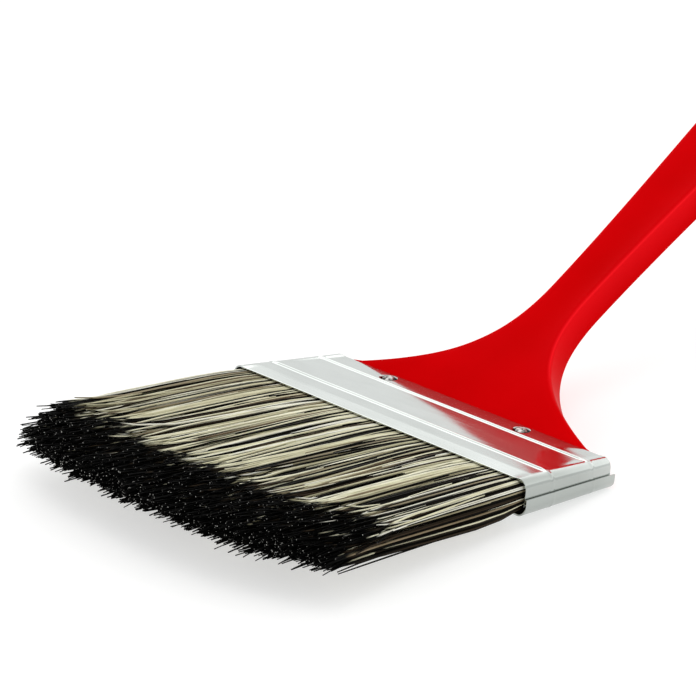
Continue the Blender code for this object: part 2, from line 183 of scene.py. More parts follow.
def rolledTinplate():
    look = {
        "dull": (0.58, 0.61, 0.59), "bright": (0.64, 0.67, 0.65), "gloss": (0.07, 0.13),
        "streak": (40.0, 1400.0, 1400.0), "cloud": (90.0, 220.0, 220.0), "ends": (0.405, 0.43, 0.41),
        "endShadeFrom": 0.0325, "endShadeFull": 0.0338, "dimpleShade": (0.035, 0.032, 0.030)}
    material, tree, shader = newMaterial("rolledTinplate")
    streak = stretchedNoise(tree, look["streak"], detail=4.0, rough=0.6)
    cloud = stretchedNoise(tree, look["cloud"], detail=3.0)
    # Painted shade: the end faces are painted darker, for the shadowed floor they reflect,
    # and the nails' dimples are painted dark as shade
    place = addNode(tree, "ShaderNodeSeparateXYZ")
    tree.links.new(addNode(tree, "ShaderNodeTexCoord").outputs["Object"], place.inputs["Vector"])
    across = addNode(tree, "ShaderNodeMath", operation="ABSOLUTE")
    tree.links.new(place.outputs["X"], across.inputs[0])
    atEnds = addRange(tree, across.outputs["Value"], look["endShadeFrom"], look["endShadeFull"], 0.0, 1.0)
    endsShaded = addMix(tree, atEnds, addFade(tree, cloud, look["dull"], look["bright"]), look["ends"])
    dimpleShaded = addMix(tree, readLayer(tree, "dimpleShade"), endsShaded, look["dimpleShade"])
    tree.links.new(dimpleShaded, shader.inputs["Base Color"])
    tree.links.new(addRange(tree, streak, *noiseWide, *look["gloss"]), shader.inputs["Roughness"])
    addBump(tree, shader, streak, strength=0.06, height=0.00003)
    shader.inputs["Metallic"].default_value = 1.0
    return material


def nailSteel():
    look = {
        "dark": (0.12, 0.11, 0.10), "bright": (0.70, 0.69, 0.66), "pitted": (0.40, 0.58),
        "gloss": (0.2, 0.4), "pits": (1700.0, 1700.0, 1700.0)}
    material, tree, shader = newMaterial("nailSteel")
    pits = stretchedNoise(tree, look["pits"], detail=3.0)
    colour = addFade(tree, pits, look["dark"], look["bright"], look["pitted"])
    tree.links.new(colour, shader.inputs["Base Color"])
    tree.links.new(addRange(tree, pits, *noiseSpan, *look["gloss"]), shader.inputs["Roughness"])
    addBump(tree, shader, pits, strength=0.15, height=0.00003)
    shader.inputs["Metallic"].default_value = 1.0
    return material


def mixedHair():
    look = {
        "strands": (
            (0.0, (0.0035, 0.0030, 0.0024)), (0.20, (0.009, 0.008, 0.006)), (0.27, (0.060, 0.042, 0.026)),
            (0.34, (0.22, 0.165, 0.105)), (0.45, (0.46, 0.435, 0.285)), (0.62, (0.78, 0.755, 0.54)),
            (0.80, (0.93, 0.915, 0.71)), (0.92, (0.96, 0.95, 0.81)), (1.0, (0.92, 0.92, 0.83))),
        "dye": (0.0010, 0.0010, 0.0009), "fade": 0.0016, "gloss": (0.32, 0.50), "coreAndGlint": (0.72, 0.71, 0.67),
        "worn": (0.74, 0.72, 0.67), "clean": (1.0, 1.0, 1.0), "band": (900.0, 160.0, 900.0), "shine": 0.02}
    material, tree, shader = newMaterial("mixedHair")
    band = stretchedNoise(tree, look["band"], detail=2.0)
    worn = addNode(tree, "ShaderNodeMix", data_type="RGBA", blend_type="MULTIPLY")
    worn.inputs["Factor"].default_value = 1.0
    tree.links.new(addRamp(tree, readLayer(tree, "shade"), look["strands"]), worn.inputs["A"])
    tree.links.new(addFade(tree, band, look["worn"], look["clean"]), worn.inputs["B"])
    # Each strand is dyed past its own mark, and a few cut ends are painted pale, partly as pale cut cores and
    # partly as painted glints
    past = addNode(tree, "ShaderNodeMath", operation="SUBTRACT")
    tree.links.new(readLayer(tree, "reach"), past.inputs[0])
    tree.links.new(readLayer(tree, "dyeStart"), past.inputs[1])
    dye = addRange(tree, past.outputs["Value"], 0.0, look["fade"], 0.0, 1.0)
    dyed = addMix(tree, dye, worn.outputs["Result"], look["dye"])
    trimmed = addMix(tree, readLayer(tree, "cutEnd"), dyed, look["coreAndGlint"])
    tree.links.new(trimmed, shader.inputs["Base Color"])
    tree.links.new(addRange(tree, band, *noiseSpan, *look["gloss"]), shader.inputs["Roughness"])
    shader.inputs["Specular IOR Level"].default_value = look["shine"]
    return material


def curedResin():
    look = {
        "amber": (0.30, 0.16, 0.05), "honey": (0.52, 0.34, 0.13), "gloss": (0.25, 0.45),
        "cloud": (300.0, 300.0, 300.0)}
    material, tree, shader = newMaterial("curedResin")
    cloud = stretchedNoise(tree, look["cloud"], detail=3.0)
    tree.links.new(addFade(tree, cloud, look["amber"], look["honey"]), shader.inputs["Base Color"])
    tree.links.new(addRange(tree, cloud, *noiseSpan, *look["gloss"]), shader.inputs["Roughness"])
    return material


def sawnStrip():
    look = {
        "late": (0.42, 0.28, 0.15), "early": (0.66, 0.50, 0.32), "grain": (60.0, 900.0, 900.0), "rough": 0.7}
    material, tree, shader = newMaterial("sawnStrip")
    grain = stretchedNoise(tree, look["grain"], detail=4.0)
    tree.links.new(addFade(tree, grain, look["late"], look["early"]), shader.inputs["Base Color"])
    addBump(tree, shader, grain, strength=0.3, height=0.0001)
    shader.inputs["Roughness"].default_value = look["rough"]
    return material


# Ferrule: one wrapped strip with two beads, nail dimples and a lap at the +X end

ferrule = {
    "widthFront": 0.0700, "widthRear": 0.0662, "thickFront": 0.0062, "thickRear": 0.0054,
    "length": 0.0218, "corner": 0.0018, "sheet": 0.00025, "lip": 0.0034, "crimp": 0.00015,
    "beadHeight": 0.00025, "beadWidth": 0.0012, "beadsAt": (0.0069, 0.0172), "endRelief": 0.22,
    "beadFade": 0.0012, "panelLean": 0.00018, "crowd": 0.50, "crowdSize": 0.0012,
    "lapGap": 0.00012, "lapTail": 0.0012, "tab": 0.0009, "tabRow": 0.0004,
    "nailAt": 0.0196, "nailReach": 0.01595, "nailShift": -0.00115, "nailStagger": 0.0030,
    "dimpleFloor": 0.0025, "dimpleWidth": 0.0032, "dimpleDepth": 0.00055, "dimpleCuts": 4,
    "dimpleFine": 0.7, "dimpleShadeReach": 3.0, "faceUp": 0.9,
    "cornerSteps": 8, "cutsAlong": 110, "cutsAcross": 110,
    "ripple": 0.00003, "rippleScale": (90.0, 160.0, 160.0), "rim": 0.00005, "rimSteps": 2}


def ferruleHalfWidth(y):
    return mix(ferrule["widthFront"], ferrule["widthRear"], y / ferrule["length"]) / 2


def ferruleHalfThick(y):
    return mix(ferrule["thickFront"], ferrule["thickRear"], y / ferrule["length"]) / 2


def faceRelief(y):
    # Beads, crimped lip and the lean of the panel between the beads
    relief = 0.0
    for bead in ferrule["beadsAt"]:
        offset = abs(y - bead) / (ferrule["beadWidth"] / 2)
        if offset < 1.0:
            relief += ferrule["beadHeight"] * math.cos(offset * math.pi / 2) ** 2
    if y < ferrule["lip"]:
        relief -= ferrule["crimp"] * (1.0 - y / ferrule["lip"])
    front, rear = ferrule["beadsAt"]
    return relief - ferrule["panelLean"] * min(max((y - front) / (rear - front), 0.0), 1.0)


def crowdRows(y):
    # Draws the rows of vertices together on the beads, with both ends left in place
    def pull(place):
        return sum(math.erf((place - bead) / ferrule["crowdSize"]) for bead in ferrule["beadsAt"])
    inside = y / ferrule["length"]
    return y - ferrule["crowd"] * ferrule["crowdSize"] * (
        pull(y) - mix(pull(0.0), pull(ferrule["length"]), inside))


def nailSpots():
    # name, X, Z side
    spots = []
    for side, label in ((-1, "Left"), (1, "Right")):
        across = ferrule["nailShift"] + side * ferrule["nailReach"]
        spots.append(("Top" + label, across, 1))
        spots.append(("Under" + label, across - side * ferrule["nailStagger"], -1))
    return spots


def taperAt(y):
    return ferruleHalfWidth(y) / ferruleHalfWidth(0.0)


def fromNail(x, y, across):
    return math.hypot(x * taperAt(y) - across, y - ferrule["nailAt"])


def dimpleAt(x, y, upSide):
    depth = 0.0
    floor, rim = ferrule["dimpleFloor"] / 2, ferrule["dimpleWidth"] / 2
    for label, across, side in nailSpots():
        if side == upSide:
            depth += ferrule["dimpleDepth"] * (1.0 - ease((fromNail(x, y, across) - floor) / (rim - floor)))
    return depth


def nearNail(edge):
    x, y, z = (edge.verts[0].co + edge.verts[1].co) / 2
    for label, across, side in nailSpots():
        if z * side > 0.0 and fromNail(x, y, across) < ferrule["dimpleWidth"] * ferrule["dimpleFine"]:
            return True
    return False


def buildFerrule(material):
    halfWidth, halfThick = ferrule["widthFront"] / 2, ferrule["thickFront"] / 2
    outer = halfWidth + ferrule["sheet"] + ferrule["lapGap"]
    wrap = (
        (halfWidth, -ferrule["lapTail"]), (halfWidth, halfThick), (-halfWidth, halfThick),
        (-halfWidth, -halfThick), (outer, -halfThick), (outer, 0.0))
    bm = bmesh.new()
    strip = [bm.verts.new((x, 0.0, z)) for x, z in wrap]
    edges = [bm.edges.new(pair) for pair in zip(strip, strip[1:])]
    drawn = bmesh.ops.extrude_edge_only(bm, edges=edges)["geom"]
    drawnVerts = [part for part in drawn if isinstance(part, bmesh.types.BMVert)]
    bmesh.ops.translate(bm, verts=drawnVerts, vec=(0.0, ferrule["length"], 0.0))
    folds = [edge for edge in bm.edges if len(edge.link_faces) == 2]
    bmesh.ops.bevel(
        bm, geom=folds, offset=ferrule["corner"], segments=ferrule["cornerSteps"], profile=0.5,
        affect="EDGES", material=-1)
    along = edgesAlong(bm, axisY, ferrule["length"] / 2)
    bmesh.ops.subdivide_edges(bm, edges=along, cuts=ferrule["cutsAlong"], use_grid_fill=True)
    for vert in bm.verts:
        vert.co.y = crowdRows(vert.co.y)
    across = edgesAlong(bm, axisX, halfWidth)
    bmesh.ops.subdivide_edges(bm, edges=across, cuts=ferrule["cutsAcross"], use_grid_fill=True)
    dimples = [edge for edge in bm.edges if nearNail(edge)]
    bmesh.ops.subdivide_edges(bm, edges=dimples, cuts=ferrule["dimpleCuts"], use_grid_fill=True)
    dimpleShade = bm.verts.layers.float.new("dimpleShade")
    bm.normal_update()
    if max(bm.faces, key=lambda face: face.calc_center_median().z).normal.z < 0.0:
        bmesh.ops.reverse_faces(bm, faces=bm.faces[:])
        bm.normal_update()
    flat = halfThick - ferrule["corner"]
    for vert in bm.verts:
        x, y, z = vert.co
        out = vert.normal.copy()
        onFlap = x > halfWidth + ferrule["lapGap"] or (x > halfWidth - ferrule["corner"] and z < -flat)
        if onFlap and y > ferrule["length"] - ferrule["tabRow"]:
            y += ferrule["tab"] * ease((x - outer + ferrule["corner"]) / ferrule["corner"])
        inside = (halfWidth - ferrule["corner"] - abs(x)) / ferrule["beadFade"]
        lift = faceRelief(vert.co.y) * mix(ferrule["endRelief"], 1.0, ease(inside))
        if abs(out.z) > ferrule["faceUp"]:
            dimple = dimpleAt(x, vert.co.y, 1 if z > 0.0 else -1)
            # Painted shade, dark over the nails' dimples
            vert[dimpleShade] = ease(dimple / ferrule["dimpleDepth"] * ferrule["dimpleShadeReach"])
            lift -= dimple
        ripple = Vector([part * scale for part, scale in zip((x, y, z), ferrule["rippleScale"])])
        lift += ferrule["ripple"] * noise.noise(ripple)
        vert.co = Vector((x * taperAt(vert.co.y), y, z * ferruleHalfThick(vert.co.y) / halfThick))
        vert.co += out * lift
    piece = addPiece("ferruleSheet", bm, material, ["ferrule"])
    wall = piece.modifiers.new("sheet", "SOLIDIFY")
    wall.thickness = ferrule["sheet"]
    wall.offset = -1.0
    wall.use_even_offset = True
    addRim(piece, "rim", ferrule["rim"], ferrule["rimSteps"])


# Nails, with a small dent in each head

nail = {
    "head": 0.0020, "rise": 0.00052, "shank": 0.0010, "length": 0.0032, "point": 0.0009,
    "dent": 0.00012, "dentReach": 0.22, "dentEdge": 0.8, "domeFrom": math.radians(22), "seat": -0.00016,
    "domeSteps": 7, "turn": 40, "sharp": math.radians(50)}


def buildNail(label, across, side, material):
    head, shank, rise, dent = nail["head"] / 2, nail["shank"] / 2, nail["rise"], nail["dent"]
    bm = bmesh.new()
    outline = [(0.0, rise - dent), (head * nail["dentReach"], rise - dent * nail["dentEdge"])]
    for step in range(nail["domeSteps"]):
        angle = mix(nail["domeFrom"], math.pi / 2, step / (nail["domeSteps"] - 1))
        outline.append((head * math.sin(angle), rise * math.cos(angle)))
    outline += [(shank, 0.0), (shank, nail["point"] - nail["length"]), (0.0, -nail["length"])]
    verts = [bm.verts.new((x, 0.0, z)) for x, z in outline]
    edges = [bm.edges.new(pair) for pair in zip(verts, verts[1:])]
    bmesh.ops.spin(
        bm, geom=verts + edges, axis=(0.0, 0.0, 1.0), cent=(0.0, 0.0, 0.0), angle=math.tau,
        steps=nail["turn"], use_merge=True)
    bmesh.ops.remove_doubles(bm, verts=bm.verts[:], dist=tiny)
    bmesh.ops.recalc_face_normals(bm, faces=bm.faces[:])
    y = ferrule["nailAt"]
    slope = math.atan((ferrule["thickFront"] - ferrule["thickRear"]) / 2 / ferrule["length"])
    turn = -slope if side > 0 else math.pi + slope
    face = side * (ferruleHalfThick(y) - ferrule["panelLean"])
    place = Matrix.Translation((across, y, face)) @ Matrix.Rotation(turn, 4, "X")
    seat = Matrix.Translation((0.0, 0.0, nail["seat"]))
    bmesh.ops.transform(bm, matrix=place @ seat, verts=bm.verts[:])
    node = "nail_" + ("top" if side > 0 else "under") + ("_left" if across < 0 else "_right")
    piece = addPiece("nail" + label, bm, material, [node])
    piece.data.set_sharp_from_angle(angle=nail["sharp"])


# Handle: tang, fan, neck, grip and butt drawn along one bent line

handle = {
    "angle": math.radians(35.7), "reach": 0.126, "bendRadius": 0.0045, "bendLead": 0.0009,
    "tangGap": 0.00055, "tangSink": 0.0006, "tangStep": 0.0007,
    "fanHalf": 0.0324, "fanPull": (0.0073, 0.0121), "fanSteps": 160,
    "neckPull": 0.0161, "neckAt": 0.030, "neckHalf": 0.0045, "neckThick": 0.0058, "neckFull": 0.0083,
    "gripAt": 0.104, "gripHalf": 0.0073, "gripThick": 0.0058,
    "buttThick": 0.0044, "buttTurn": math.radians(75),
    "tangRadius": 0.00125, "rootRadius": 0.0014, "edgeRadius": 0.0007, "buttRadius": 0.0013,
    "rootOver": 0.004, "edgeFrom": 0.003, "edgeOver": 0.013, "buttOver": 0.010,
    "cornerThick": 0.96, "cornerWide": 0.8,  # a corner's largest share of the half sizes
    "dish": 0.00024, "dishFrom": 0.008, "dishTo": 0.096, "dishIn": 0.012, "dishOut": 0.010,
    "cornerSteps": 6, "cutsAlong": 190, "cutsAcross": 13,
    # share of the cuts, metres past the ferrule
    "stations": ((0.0, -0.0102), (0.07, 0.0), (0.50, 0.034), (0.86, 0.1187), (1.0, 0.126)),
    # painted highlight on the upper edges, the tops of the sides and the rims of the dished face
    "highlightFrom": 0.006, "highlightFull": 0.016, "highlightSide": 0.42, "highlightTop": 0.10, "highlightCrest": 0.90,
    "highlightSlack": 0.001,
    "slotWidth": 0.0055, "slotLength": 0.0120, "slotInset": 0.0055, "slotTool": 0.02, "slotFit": 0.999,
    "slotSteps": 10, "slotRim": 0.0006, "rimSteps": 3}


def fanCurve():
    neck = Vector((handle["neckAt"], handle["neckHalf"]))
    return interpolate_bezier(
        Vector((0.0, handle["fanHalf"])), Vector(handle["fanPull"]), neck - Vector((handle["neckPull"], 0.0)),
        neck, handle["fanSteps"])


def stationAt(share):
    knots = handle["stations"]
    for (low, first), (high, last) in zip(knots, knots[1:]):
        if share <= high:
            inside = (share - low) / (high - low)
            if high == 1.0:
                inside = math.sin(inside * handle["buttTurn"]) / math.sin(handle["buttTurn"])
            return mix(first, last, inside)
    return knots[-1][1]


def gripShare(s):
    return ease((s - handle["neckAt"]) / (handle["gripAt"] - handle["neckAt"]))


def handleHalfWidth(s, curve):
    if s < 0.0:
        inner = ferruleHalfWidth(ferrule["length"] + s) - handle["tangGap"]
        return mix(inner, handle["fanHalf"], ease((s + handle["bendLead"] * 2) / (handle["bendLead"] * 2)))
    if s < handle["neckAt"]:
        for near, far in zip(curve, curve[1:]):
            if s <= far.x:
                return mix(near.y, far.y, (s - near.x) / max(far.x - near.x, tiny))
    roundFrom = handle["reach"] - handle["gripHalf"]
    if s < roundFrom:
        return mix(handle["neckHalf"], handle["gripHalf"], gripShare(s))
    inside = min((s - roundFrom) / handle["gripHalf"], math.sin(handle["buttTurn"]))
    return handle["gripHalf"] * math.sqrt(1.0 - inside * inside)


def handleHalfThick(s):
    if s < 0.0:
        sink = handle["tangSink"] * ease(-s / handle["tangStep"])
        return ferruleHalfThick(ferrule["length"] + s) - handle["tangGap"] - sink
    tang = ferruleHalfThick(ferrule["length"]) - handle["tangGap"]
    if s < handle["neckAt"]:
        return mix(tang, handle["neckThick"] / 2, math.sin(min(s / handle["neckFull"], 1.0) * math.pi / 2))
    if s < handle["gripAt"]:
        return mix(handle["neckThick"], handle["gripThick"], gripShare(s)) / 2
    share = ease((s - handle["gripAt"]) / (handle["reach"] - handle["gripAt"]))
    return mix(handle["gripThick"], handle["buttThick"], share) / 2


def handleRadius(s):
    if s < 0.0:
        share = ease((s + handle["rootOver"]) / handle["rootOver"])
        return mix(handle["tangRadius"], handle["rootRadius"], share)
    if s < handle["gripAt"]:
        share = ease((s - handle["edgeFrom"]) / handle["edgeOver"])
        return mix(handle["rootRadius"], handle["edgeRadius"], share)
    return mix(handle["edgeRadius"], handle["buttRadius"], ease((s - handle["gripAt"]) / handle["buttOver"]))


def handlePlace(s):
    # Place on the bent centre line and the line's angle there
    start = ferrule["length"] - handle["bendLead"]
    along = s + handle["bendLead"]
    if along <= 0.0:
        return Vector((0.0, start + along, 0.0)), 0.0
    radius = handle["bendRadius"]
    bend = handle["angle"] * radius
    angle = min(along, bend) / radius
    straight = max(along - bend, 0.0)
    y = start + radius * math.sin(angle) + straight * math.cos(angle)
    return Vector((0.0, y, radius * (1.0 - math.cos(angle)) + straight * math.sin(angle))), angle


def handleDish(s):
    deep = ease((s - handle["dishFrom"]) / handle["dishIn"])
    return handle["dish"] * deep * (1.0 - ease((s - handle["dishTo"]) / handle["dishOut"]))


def ridgeHighlightAt(x, z, s):
    # How much painted highlight the plastic gets, from the dished face over the upper edge and down the side;
    # x and z run from 0 to 1 over the edge's round, and x from -1 to 0 over the face
    shown = ease((s - handle["highlightFrom"]) / (handle["highlightFull"] - handle["highlightFrom"]))
    if z < -handle["highlightSlack"]:
        return 0.0
    if x < 0.0:
        return shown * handle["highlightTop"] * (1.0 + x) ** 2
    turn = math.atan2(max(z, 0.0), x) / (math.pi / 2)
    crest = (1.0 - abs(2.0 * turn - 1.0)) ** 2
    return shown * mix(mix(handle["highlightSide"], handle["highlightTop"], turn), handle["highlightCrest"], crest)


def buildHandle(material):
    # A unit bar with rounded edges, whose cuts are then moved out along the handle's line
    width, thick, radius = handle["neckHalf"], handle["neckThick"] / 2, handle["edgeRadius"]
    bm = bmesh.new()
    bmesh.ops.create_cube(bm, size=1.0)
    bmesh.ops.scale(bm, verts=bm.verts[:], vec=(width * 2, 1.0, thick * 2))
    bmesh.ops.translate(bm, verts=bm.verts[:], vec=(0.0, 0.5, 0.0))
    bmesh.ops.bevel(
        bm, geom=edgesAlong(bm, axisY, 0.5), offset=radius, segments=handle["cornerSteps"], profile=0.5,
        affect="EDGES", material=-1)
    broad = edgesAlong(bm, axisX, width)
    bmesh.ops.subdivide_edges(bm, edges=broad, cuts=handle["cutsAcross"], use_grid_fill=True)
    ribs = edgesAlong(bm, axisY, 0.5)
    bmesh.ops.subdivide_edges(bm, edges=ribs, cuts=handle["cutsAlong"], use_grid_fill=True)
    curve = fanCurve()
    ridgeHighlight = bm.verts.layers.float.new("ridgeHighlight")
    innerWidth, innerThick = width - radius, thick - radius
    for vert in bm.verts:
        x, share, z = vert.co
        s = stationAt(share)
        overX, overZ = (abs(x) - innerWidth) / radius, (z - innerThick) / radius
        overFace = max(overX * radius / innerWidth, -1.0)
        # Painted highlight, lighter over the upper edges and the tops of the sides
        vert[ridgeHighlight] = ridgeHighlightAt(overX if abs(x) > innerWidth - tiny else overFace, overZ, s)
        halfWidth, halfThick = handleHalfWidth(s, curve), handleHalfThick(s)
        corner = min(handleRadius(s), halfThick * handle["cornerThick"], halfWidth * handle["cornerWide"])
        side, lift = math.copysign(1.0, x), math.copysign(1.0, z)
        if abs(x) <= innerWidth + tiny:
            newX = x / innerWidth * (halfWidth - corner)
        else:
            newX = side * (halfWidth - corner + (abs(x) - innerWidth) / radius * corner)
        if abs(z) <= innerThick + tiny:
            newZ = z / innerThick * (halfThick - corner)
        else:
            newZ = lift * (halfThick - corner + (abs(z) - innerThick) / radius * corner)
        if z > thick - tiny:
            newZ -= handleDish(s) * max(1.0 - (newX / (halfWidth - corner)) ** 2, 0.0)
        place, angle = handlePlace(s)
        up = Vector((0.0, -math.sin(angle), math.cos(angle)))
        vert.co = place + Vector((newX, 0.0, 0.0)) + up * newZ
    bmesh.ops.recalc_face_normals(bm, faces=bm.faces[:])
    piece = addPiece("handleMoulding", bm, material, ["handle"])
    cutHangSlot(piece)


def cutHangSlot(piece):
    deep = handle["slotTool"]
    bm = bmesh.new()
    bmesh.ops.create_cube(bm, size=1.0)
    bmesh.ops.scale(bm, verts=bm.verts[:], vec=(handle["slotWidth"], handle["slotLength"], deep))
    bmesh.ops.bevel(
        bm, geom=edgesAlong(bm, axisZ, deep / 2), offset=handle["slotWidth"] / 2 * handle["slotFit"],
        segments=handle["slotSteps"], profile=0.5, affect="EDGES", material=-1)
    place, angle = handlePlace(handle["reach"] - handle["slotInset"] - handle["slotLength"] / 2)
    bmesh.ops.transform(
        bm, matrix=toTable @ Matrix.Translation(place) @ Matrix.Rotation(angle, 4, "X"), verts=bm.verts[:])
    mesh = bpy.data.meshes.new("slotTool")
    bm.to_mesh(mesh)
    bm.free()
    tool = bpy.data.objects.new("slotTool", mesh)
    bpy.context.scene.collection.objects.link(tool)
    cut = piece.modifiers.new("hangSlot", "BOOLEAN")
    cut.operation = "DIFFERENCE"
    cut.object = tool
    cut.solver = "EXACT"
    bpy.context.view_layer.update()
    shown = piece.evaluated_get(bpy.context.evaluated_depsgraph_get())
    piece.data = bpy.data.meshes.new_from_object(shown)
    piece.modifiers.clear()
    bpy.data.objects.remove(tool)
    addRim(piece, "slotRim", handle["slotRim"], handle["rimSteps"])


# Bristles: thousands of tapered strands a bank, each drawn out of one cell of its root grid

bristle = {
    "seed": 7, "columns": 190, "rows": 13, "rootAt": 0.0030, "jitter": (0.00010, 0.00006),
    "mouthHalfWidth": 0.03435, "mouthHalfThick": 0.00246, "mouthCorner": 0.0016,
    "halfWidth": 0.0350, "halfThick": 0.0031, "tipThick": 0.84, "flare": 0.0007,
    "length": 0.0502, "leftShort": 0.0054, "rightShort": 0.0072, "endCurve": 2.4, "ragged": 0.0011,
    "topChisel": 0.0106, "leftChisel": 0.28, "rightChisel": 0.12, "coreChisel": 0.0004,
    "underChisel": 0.0026, "chiselCurve": 1.15,
    "droop": 0.0010, "leftDroop": 0.0018, "leftDroopCurve": 3,
    "swell": 0.00030, "underSwell": 0.0010, "endSwell": 0.0004, "endSwellCurve": 5, "bellyAt": 0.25,
    "tuft": 0.0012, "tuftSize": 0.0040, "tuftFlat": 1.5, "tuftRise": 0.35,
    "stray": 0.045, "strayBy": 0.0026, "strayRise": 0.3,
    "swayX": 0.00045, "swayZ": 0.00014, "bowX": 0.00010, "bowZ": 0.00005, "bowCalm": 0.5,
    "endCalm": 0.6, "endCalmCurve": 6,  # sway dies down in the strands at the two ends
    "lockDeep": 2, "paleWide": 2, "darkWide": 2, "lockSwayX": 0.00110, "lockSwayZ": 0.00020,
    "lockBow": 0.00014, "lockTone": 0.16,
    "flagFrom": 0.80, "flagX": 0.00075, "flagZ": 0.00060,
    "stations": (0.0, 0.10, 0.24, 0.48, 0.72, 0.88, 1.0),
    "radius": (0.000112, 0.000114, 0.000116, 0.000114, 0.000108, 0.000094, 0.000064),
    "stout": (0.80, 1.20), "cutEnd": 0.00002, "coreGlintSpread": 37.0, "coreGlintCurve": 4,
    "dyeTop": 0.0030, "dyeUnder": 0.0050, "dyeRagged": 0.0005, "dyeDrift": 0.0020, "driftSize": 0.0065,
    # darker strands inside the bank are partly painted shade, and towards the under side at the two ends
    # painted shade
    "turnsDark": 0.67, "staysDark": 0.02, "darkRight": 0.14, "darkAndShadedInside": 0.90, "darkOwn": 0.06,
    "darkStreak": 0.10, "streakSize": 0.0045, "streakRow": 0.8, "endShadeTop": 0.35, "endShadeUnder": 0.90,
    "isDark": 0.27, "brownShare": 0.08, "brownTo": 0.40, "paleTone": (0.71, 0.14), "paleLeast": 0.38,
    # levels of the noise field, far enough apart not to look alike
    "tuftLevel": 4.7, "riseLevel": 9.0, "streakLevel": 2.3, "driftLevel": 7.1,
    "mapLength": 0.060, "mapInset": 0.02, "mapCell": (0.1, 0.9, 0.9, 0.1)}


def trimLength(u, w):
    # The tips are trimmed round towards the ends and to a chisel from the top
    left, right = max(-u, 0.0), max(u, 0.0)
    skin = bristle["underChisel"]
    if w > 0.0:
        skin = bristle["topChisel"] * (
            1.0 - bristle["leftChisel"] * left ** 2 + bristle["rightChisel"] * right ** 2)
    length = bristle["length"] - mix(bristle["coreChisel"], skin, abs(w) ** bristle["chiselCurve"])
    return length - bristle["leftShort" if u < 0.0 else "rightShort"] * abs(u) ** bristle["endCurve"]


def planLocks(columns, rows, chance):
    # Strands stand in small locks, one or two wide and two deep, that lean and take their tone together
    plan = []
    for line in range(rows // bristle["lockDeep"] + 1):
        locks, dark = [], False
        while len(locks) < columns:
            across = 2.0 * len(locks) / columns - 1.0
            turn = bristle["staysDark"]
            if not dark:
                turn = bristle["turnsDark"] + bristle["darkRight"] * max(across, 0.0)
            streak = across * bristle["mouthHalfWidth"] / bristle["streakSize"]
            turn += bristle["darkStreak"] * noise.noise(
                Vector((streak, line * bristle["streakRow"], bristle["streakLevel"])))
            dark = chance.random() < turn
            lock = {
                "dark": dark, "pale": chance.gauss(0.0, bristle["lockTone"]),
                "x": chance.gauss(0.0, bristle["lockSwayX"]), "z": chance.gauss(0.0, bristle["lockSwayZ"]),
                "bow": chance.gauss(0.0, bristle["lockBow"])}
            locks += [lock] * chance.randint(1, bristle["darkWide" if dark else "paleWide"])
        plan.append(locks)
    return plan


def strandPath(x, z, lock, chance):
    # Places along one strand, from its root in the mouth to its flagged tip
    u, w = x / bristle["mouthHalfWidth"], z / bristle["mouthHalfThick"]
    length = trimLength(u, w) + chance.gauss(0.0, bristle["ragged"])
    tuft = Vector((
        x / bristle["tuftSize"], z / bristle["tuftSize"] * bristle["tuftFlat"], bristle["tuftLevel"]))
    rise = tuft + Vector((0.0, bristle["riseLevel"], 0.0))
    stray = bristle["strayBy"] if chance.random() < bristle["stray"] else 0.0
    inward = 1.0 - bristle["endCalm"] * abs(u) ** bristle["endCalmCurve"]
    tipX = u * (bristle["halfWidth"] + bristle["flare"]) + inward * (
        bristle["tuft"] * noise.noise(tuft) + lock["x"] + chance.gauss(0.0, bristle["swayX"])
        + chance.uniform(-stray, stray))
    tipZ = w * bristle["halfThick"] * bristle["tipThick"] - bristle["droop"]
    tipZ -= bristle["leftDroop"] * max(-u, 0.0) ** bristle["leftDroopCurve"] * (1.0 - max(w, 0.0))
    tipZ += lock["z"] + chance.gauss(0.0, bristle["swayZ"])
    tipZ += (
        bristle["tuftRise"] * bristle["tuft"] * noise.noise(rise)
        + bristle["strayRise"] * chance.uniform(-stray, stray))
    bowX = (lock["bow"] + chance.gauss(0.0, bristle["bowX"])) * inward
    bow = Vector((bowX, 0.0, chance.gauss(0.0, bristle["bowZ"]) * (1.0 - bristle["bowCalm"] * w * w)))
    flag = Vector((chance.gauss(0.0, bristle["flagX"]), 0.0, chance.gauss(0.0, bristle["flagZ"])))
    places = []
    for t in bristle["stations"]:
        place = Vector((mix(x, tipX, t), -length * t, mix(z, tipZ, t)))
        past = t / bristle["bellyAt"]
        belly = past * math.exp(1.0 - past)
        place.z += w * bristle["swell" if w > 0.0 else "underSwell"] * belly
        place.x += u ** bristle["endSwellCurve"] * bristle["endSwell"] * belly
        place += bow * 4.0 * t * (1.0 - t)  # fullest half way along
        places.append(place + flag * max(t - bristle["flagFrom"], 0.0) / (1.0 - bristle["flagFrom"]))
    return places


def strandTone(outside, atEnd, w, lock, chance):
    # Outside, pale and dark locks take turns. Inside, most strands are dark, partly dark strands and partly
    # painted shade in the gaps between the outer ones, and at the two ends more of them are dark towards the
    # under side, as painted shade.
    dark = bristle["darkAndShadedInside"]
    if atEnd:
        dark = mix(bristle["endShadeTop"], bristle["endShadeUnder"], (1.0 - w) / 2)
    elif outside:
        dark = 1.0 - bristle["darkOwn"] if lock["dark"] else bristle["darkOwn"]
    if chance.random() < dark:
        return chance.uniform(0.0, bristle["isDark"])
    if chance.random() < bristle["brownShare"]:
        return chance.uniform(bristle["isDark"], bristle["brownTo"])
    return min(max(chance.gauss(*bristle["paleTone"]) + lock["pale"], bristle["paleLeast"]), 1.0)


def shapeMouth(bm, lift):
    # Turns the flat grid up into the ferrule's mouth, with its rounded corners
    corner = bristle["mouthCorner"]
    for vert in bm.verts:
        z = lift * (vert.co.y + 0.5) * bristle["mouthHalfThick"]
        squeeze = max(abs(z) - bristle["mouthHalfThick"] + corner, 0.0) / corner
        narrow = corner * (1.0 - math.sqrt(max(1.0 - squeeze * squeeze, 0.0)))
        vert.co = Vector((vert.co.x * 2 * (bristle["mouthHalfWidth"] - narrow), bristle["rootAt"], z))


